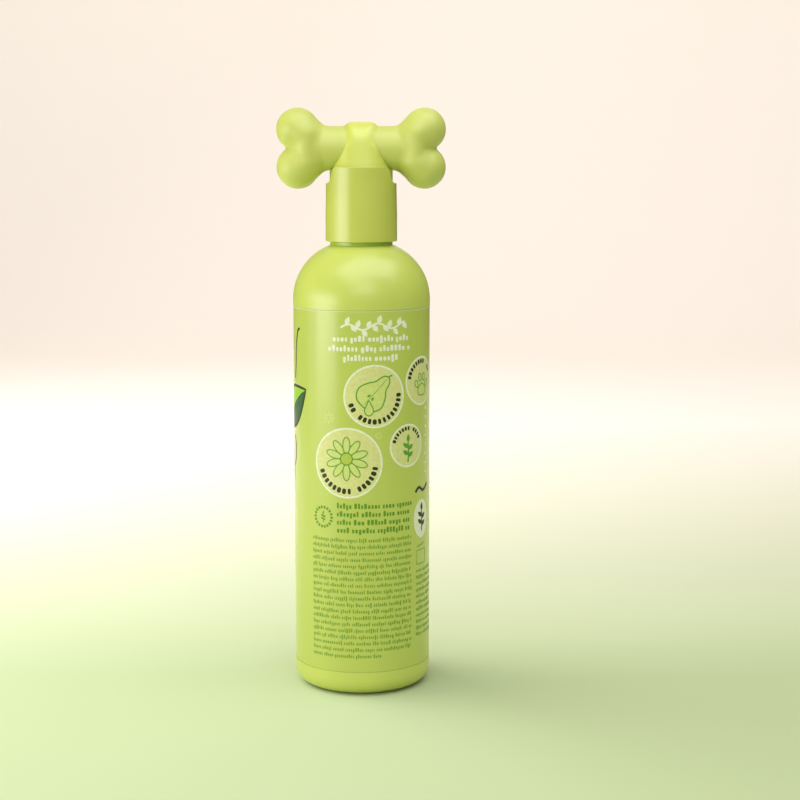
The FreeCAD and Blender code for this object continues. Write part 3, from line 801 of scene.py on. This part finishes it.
def print_paw(tag, centre, size, ink="leaf", outlined=False):
    """A pad and four toes, filled or, for the roundel, pale with an outline."""
    paw = Print(f"print_{tag}", ink, 2)
    shapes = [placed(curve(PAW_PAD, True), centre, size)]
    for x, y, tilt in PAW_TOES:
        toe = placed([(x, y)], centre, size)[0]
        shapes.append(oval(toe, 0.19 * size, 0.3 * size, 16, tilt))
    for shape in shapes:
        if outlined:
            paw.stroke(shape, 0.4, True)
        else:
            paw.fill(shape)
    paw.piece()
    if outlined:
        back = Print(f"print_{tag}_fill", "pale", 1)
        for shape in shapes:
            back.fill(shape)
        back.piece()


def print_sprig(tag, centre, size, ink="leaf"):
    """A stalk with pairs of small leaves."""
    sprig = Print(f"print_{tag}", ink, 2)
    stalk = placed([(0, -1), (0.05, -0.3), (0, 0.5)], centre, size)
    sprig.stroke(curve(stalk), 0.14 * size)
    for rise, side in SPRIG_LEAVES:
        foot = placed([(0.02, rise)], centre, size)[0]
        tilt = math.pi / 2 - side * 0.95
        sprig.fill(placed(leaf_outline(10, 0.26), foot, size * 0.62, tilt))
    sprig.piece()


def print_flower(tag, centre, size):
    """A faint flower of eight strokes between the roundels."""
    petals = 8
    flower = Print(f"print_{tag}", "pale", 0)
    for number in range(petals):
        angle = number * 2 * math.pi / petals
        reach = placed([(0.38, 0), (1, 0)], centre, size, angle)
        flower.stroke(reach, 0.24 * size)
    flower.piece()


# Lines of blocks: height and the angles of both ends for the slogan, and height, half length and size of
# the blocks for the title at the front.

SLOGAN_LINES = ((134.6, -23, 43), (131.0, -27, 47), (127.5, -14, 33))
TITLE_LINES = ((52, 11.5, 3.4), (45, 12.5, 2.2), (40.5, 9.5, 1.5), (37, 12, 1.5))
BOLD_PITCH = 3.07
FINE_PITCH = 2.47


def print_heading():
    """White vine in the title's place, and three lines of slogan."""
    vine = Print("print_heading_vine", "white", 1)
    start, end, rise = along(-16), along(39), 139.8
    count = 26
    stem = []
    for number in range(count):
        part = number / (count - 1)
        wave = 1.1 * math.sin(part * 4.5 * math.pi)
        stem.append((start + (end - start) * part, rise + wave + 0.8 * part))
    vine.stroke(stem, 0.75)
    for number in range(2, count - 1, 2):
        side = 1 if number % 4 else -1
        foot = stem[number]
        vine.fill(placed(leaf_outline(9, 0.3), foot, 3.2, side * 1.05 + 0.15))
    vine.piece()
    slogan = Print("print_slogan", "white", 1)
    rng = random.Random("slogan")
    for low, left, right in SLOGAN_LINES:
        print_line(slogan, rng, along(left), along(right), low, 1.6, (3, 8), (0.5, 0.78))
    slogan.piece()


def print_small_text():
    """Four bold lines, a block of fine print under them, and a side column under an open box."""
    rng = random.Random("fine print")
    bold = Print("print_bold_lines", "deep", 1)
    for number in range(4):
        end, low = along(47 - 2 * (number % 2)), 72.2 - BOLD_PITCH * number
        print_line(bold, rng, along(-20), end, low, 1.45, (3, 9), (0.42, 0.72))
    bold.piece()
    fine = Print("print_fine_block", "mid", 1)
    for number in range(19):
        end, low = along(47 if number < 18 else 18), 59.5 - FINE_PITCH * number
        print_line(fine, rng, along(-44), end, low, 1.05, (3, 11), (0.3, 0.6))
    fine.piece()
    column = Print("print_side_column", "mid", 1)
    for number in range(11):
        end, low = along(53 + rng.uniform(26, 34)), 45.5 - FINE_PITCH * number
        print_line(column, rng, along(53), end, low, 1.0, (3, 9))
    left, right = along(54), along(68)
    box = [(left, 48.6), (right, 48.6), (right, 54), (left, 54)]
    column.stroke([*box, box[0]], 0.4)
    column.stroke([(left, 55.4), (along(66), 56.4)], 0.5)
    column.piece()


def print_side_marks():
    """A column of dots, a wave, and a sprig in a white oval, at the right of the text panel."""
    dots = Print("print_side_dots", "white", 1)
    for number in range(8):
        dots.fill(oval((along(69), 108 - 3.5 * number), 0.7, 0.7, 16))
    dots.fill(oval((along(61), 66), 5.0, 7.4, 40))
    dots.piece()
    wave = Print("print_side_wave", "dark", 2)
    line = [(along(52), 76.6), (along(57), 78.2), (along(64), 76.8), (along(72), 78.8)]
    wave.stroke(curve(line), 1.1)
    wave.piece()
    print_sprig("side_sprig", (along(61), 66.4), 5.2, "dark")


def print_badge():
    """Small round badge: a ring of blocks with a sprig in it."""
    centre = (along(-33), 68.5)
    radius = 3.7
    badge = Print("print_badge_ring", "deep", 1)
    for number in range(18):
        turn = number * math.pi / 9
        at = (centre[0] + radius * math.cos(turn), centre[1] + radius * math.sin(turn))
        badge.block(at, 0.85, 1.15, turn - math.pi / 2)
    badge.piece()
    print_sprig("badge_sprig", centre, 2.1, "deep")


# Two dark curved lines at the edge of the front drawing: angles and heights.
FRONT_CURLS = (
    ((-62, 138), (-66, 137.2), (-70, 131), (-71, 125), (-74, 119)),
    ((-77, 97), (-73, 94), (-73, 89), (-77, 85.5)),
)


def print_front():
    """The front of the label, mostly out of sight: a pear with two leaves over a title panel."""
    middle = along(-117)
    place, size = (middle, 92), 21
    pear = placed(curve(PEAR, True), place, size)
    edge = Print("print_front_pear_edge", "dark", 1)
    edge.stroke(pear, 1.1, True)
    edge.stroke(curve([(middle, 112), (middle + 1.5, 118), (middle + 6, 123), (middle + 9, 124)]), 1.6)
    edge.piece()
    skin = Print("print_front_pear_skin", "lime", 0)
    skin.fill(pear)
    skin.piece()
    shade = Print("print_front_pear_shade", "leaf", 1)
    shade.fill(placed(curve(PEAR_SHADE, True), place, size))
    shade.piece()
    print_front_leaf("right", (along(-100), 102), (along(-52.7), 115.6), 0.3)
    print_front_leaf("left", (along(-134), 103), (along(-168), 116), 0.28)
    title = Print("print_front_title", "white", 2)
    rng = random.Random("front title")
    for low, half, tall in TITLE_LINES:
        print_line(title, rng, middle - half, middle + half, low, tall, (4, 8))
    title.piece()
    for number, turn in enumerate((-139, -98)):
        print_paw(f"front_paw_{number}", (along(turn), 25), 4.2, "white")
    curl = Print("print_front_curl", "dark", 1)
    for path in FRONT_CURLS:
        curl.stroke(curve([(along(turn), height) for turn, height in path]), 0.9)
    curl.piece()


def print_front_leaf(tag, foot, tip, belly):
    """A leaf in two greens with a dark outline, from its stalk to its tip."""
    length = math.dist(foot, tip)
    angle = math.atan2(tip[1] - foot[1], tip[0] - foot[0])
    outline = leaf_outline(16, belly)
    top = outline[: len(outline) // 2 + 1]
    under = [*outline[len(outline) // 2 :], outline[0]]
    for part, ink, points in (("upper", "lime", top), ("lower", "teal", under)):
        area = Print(f"print_front_leaf_{tag}_{part}", ink, 1)
        area.fill(placed(points, foot, length, angle))
        area.piece()
    edge = Print(f"print_front_leaf_{tag}_edge", "dark", 2)
    edge.stroke(placed(outline, foot, length, angle), 1.0, True)
    edge.stroke(placed([(0.05, 0), (0.9, 0)], foot, length, angle), 0.5)
    edge.piece()


def print_back():
    """A plain panel of bars on the side that faces away."""
    panel = Print("print_bar_panel", "white", 0)
    left, right, low, high = along(92), along(118), 24, 44
    panel.fill([(left, low), (right, low), (right, high), (left, high)])
    panel.piece()
    rng = random.Random("bars")
    bars = Print("print_bars", "dark", 1)
    at = left + 1
    while at < right - 1.2:
        wide = rng.choice((0.25, 0.4, 0.6))
        bars.fill([(at, low + 1.4), (at + wide, low + 1.4), (at + wide, high - 1.2), (at, high - 1.2)])
        at += wide + rng.choice((0.25, 0.4, 0.55))
    bars.piece()


def painted_rim_highlight():
    """Painted highlight: a white line along the top of the film, for its edge catching the light."""
    rim = Print("painted_rim_highlight", "white", 0)
    height = LABEL_TOP - 0.14
    rim.stroke([(along(-205), height), (along(145), height)], 0.2)
    rim.piece()


def add_print():
    """All the print on the label, and the painted highlight along its top edge."""
    painted_rim_highlight()
    print_heading()
    print_small_text()
    print_side_marks()
    print_badge()
    pear, daisy = (along(12), 114.3), (along(-11), 89.4)
    paw, sprig = (along(60.5), 118.7), (along(42.7), 95)
    print_roundel("pear_roundel", pear, 11.8, (200, 368, 2.0))
    print_pear("pear_slice", (pear[0] + 0.3, pear[1] + 1.7), 7.2, -0.75)
    print_roundel("daisy_roundel", daisy, 13.3, (188, 352, 2.1))
    print_daisy("daisy", (daisy[0] - 0.3, daisy[1] + 1.6), 8.2)
    print_roundel("paw_roundel", paw, 9.3, (30, 170, 1.7))
    print_paw("paw", (paw[0] + 0.3, paw[1] - 1.6), 4.9, outlined=True)
    print_roundel("sprig_roundel", sprig, 8.2, (25, 165, 1.5))
    print_sprig("sprig", (sprig[0], sprig[1] - 1.2), 5.0)
    print_flower("flower_left", (along(-27), 106), 2.3)
    print_flower("flower_right", (along(15), 99.6), 1.5)
    print_front()
    print_back()


# ---------------------------------------------------------------- carried-over CAD nodes


def finish_nodes():
    """Gives each CAD node that stays in view its material."""
    finishes = {
        "bottle": plastics["bottle"],
        "label_wrap": label_film,
        "outer_collar": plastics["collar"],
        "inner_cap": plastics["cap"],
        "rocker": plastics["cap"],
        "neck_liner": soft("liner_foam", colour(236, 236, 228), 2600, 0.7),
        "valve_seal": soft("seal_rubber", colour(226, 228, 220), 3800, 0.5),
    }
    for name, material in finishes.items():
        coat(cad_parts[name], material)


# ---------------------------------------------------------------- floor, light and camera


FLOOR_GREEN = colour(176, 189, 145)
BACKDROP_CREAM = colour(252, 242, 232)
FLOOR_FADE = 0.65


def stage_material():
    """Pale paper: soft green near the object, turning to cream further back."""
    nodes = Nodes("stage_paper")
    split = nodes.add("ShaderNodeSeparateXYZ")
    nodes.link(nodes.place, split.inputs["Vector"])
    back = nodes.spread(split.outputs["Y"], 0, 1, 0.0, FLOOR_FADE)
    nodes.feed("Base Color", nodes.blend(back, FLOOR_GREEN, BACKDROP_CREAM))
    nodes.value("Roughness", 0.9)
    nodes.value("Specular IOR Level", 0.1)
    return nodes.material


def add_stage():
    """A floor that sweeps up into a backdrop."""
    front, back, bend = -2.5, 1.1, 0.7
    half, top = 3.2, 3.2
    steps = 12
    profile = [(front, 0), (back, 0)]
    for step in range(1, steps + 1):
        turn = step / steps * math.pi / 2
        profile.append((back + bend * math.sin(turn), bend - bend * math.cos(turn)))
    profile.append((back + bend, top))
    points = [(side * half, y, z) for y, z in profile for side in (-1, 1)]
    faces = [(2 * i, 2 * i + 1, 2 * i + 3, 2 * i + 2) for i in range(len(profile) - 1)]
    mesh = bpy.data.meshes.new("stage")
    mesh.from_pydata(points, [], faces)
    mesh.shade_smooth()
    stage = bpy.data.objects.new("stage", mesh)
    bpy.context.scene.collection.objects.link(stage)
    coat(stage, stage_material())


def add_light(name, place, target, size, power, tint=(1, 1, 1), glossy=True):
    """A soft box that faces a target. Without glossy it leaves no highlight."""
    data = bpy.data.lights.new(name, "AREA")
    data.shape = "RECTANGLE"
    data.size, data.size_y = size
    data.energy = power
    data.color = tint
    light = bpy.data.objects.new(name, data)
    light.location = place
    light.rotation_euler = (Vector(target) - Vector(place)).to_track_quat("-Z", "Y").to_euler()
    light.visible_glossy = glossy
    bpy.context.scene.collection.objects.link(light)
    return light


def polar(azimuth, distance, height):
    """A place round the bottle: azimuth 0 is in front of it, + to the right."""
    turn = math.radians(azimuth)
    return distance * math.sin(turn), -distance * math.cos(turn), height


def add_cards():
    """A dark card beyond each edge of the view, which keeps the bottle's sides from washing out."""
    low, high = 0.01, 0.75
    for name, side, shade in (("right", 1, 0.06), ("left", -1, 0.16)):
        near, far = (side * 0.62, -0.15), (side * 0.28, 1.10)
        points = [(*near, low), (*far, low), (*far, high), (*near, high)]
        mesh = bpy.data.meshes.new(f"card_{name}")
        mesh.from_pydata(points, [], [(0, 1, 2, 3)])
        card = bpy.data.objects.new(f"card_{name}", mesh)
        bpy.context.scene.collection.objects.link(card)
        card.visible_camera = False
        card.visible_diffuse = False
        card.visible_shadow = False
        nodes = Nodes(f"card_paper_{name}")
        dark = (shade, shade * 1.1, shade * 0.6)
        light = (shade * 1.2, shade * 1.3, shade * 0.8)
        nodes.feed("Base Color", nodes.blend(nodes.noise(30), dark, light))
        nodes.value("Roughness", 0.9)
        coat(card, nodes.material)


def add_lights():
    """Soft boxes for the bottle, in the order place, target, size and power."""
    add_light(
        "key_left", polar(-67, 0.8, 0.15), (0, 0, 0.15), (0.76, 0.26), 2.7, tint=(1, 0.94, 0.94)
    )
    add_light(
        "side_left", polar(-108, 0.75, 0.34), (0, 0, 0.05), (0.3, 0.3), 1.2,
        tint=(1, 0.97, 0.97), glossy=False,
    )
    add_light(
        "front_high", (0.1, -0.95, 0.62), (0, 0, 0.19), (0.7, 0.4), 1.7, tint=(1, 0.98, 0.97)
    )
    add_light("top_front", (0.1, -0.2, 0.78), (0, 0, 0.16), (1.1, 0.6), 4.7)


def add_stage_lights():
    """A light that falls on the stage only, and a wash over the backdrop."""
    floor_light = add_light("floor_left", polar(-108, 0.55, 0.5), (0, 0, 0), (0.75, 0.4), 5.0)
    lit = bpy.data.collections.new("lit_by_floor_left")
    lit.objects.link(bpy.data.objects["stage"])
    floor_light.light_linking.receiver_collection = lit
    add_light("backdrop_wash", (0, 0.4, 1.2), (0, 1.8, 0.95), (3.0, 0.6), 18.0)


def add_world():
    """A faint warm light from all round."""
    world = bpy.data.worlds.new("studio")
    world.use_nodes = True
    background = next(n for n in world.node_tree.nodes if n.type == "BACKGROUND")
    background.inputs["Color"].default_value = (1.0, 0.985, 0.955, 1)
    background.inputs["Strength"].default_value = 0.33
    bpy.context.scene.world = world


CAMERA_PLACE = (0.0146, -0.650, 0.2014)
CAMERA_DOWN = 8.05
CAMERA_LENS = 77.1
CAMERA_SENSOR = 36


def add_camera():
    """The photo's own viewpoint: level with the lever, looking down a little."""
    data = bpy.data.cameras.new("camera")
    data.sensor_width = CAMERA_SENSOR
    data.lens = CAMERA_LENS
    camera = bpy.data.objects.new("camera", data)
    camera.location = CAMERA_PLACE
    camera.rotation_euler = (math.radians(90 - CAMERA_DOWN), 0, 0)
    bpy.context.scene.collection.objects.link(camera)
    bpy.context.scene.camera = camera


# ---------------------------------------------------------------- the whole scene


add_camera()
add_stage()
add_cards()
add_lights()
add_stage_lights()
add_world()
bpy.context.scene.view_settings.view_transform = "Standard"
finish_nodes()
add_bone()
add_strap()
add_print()
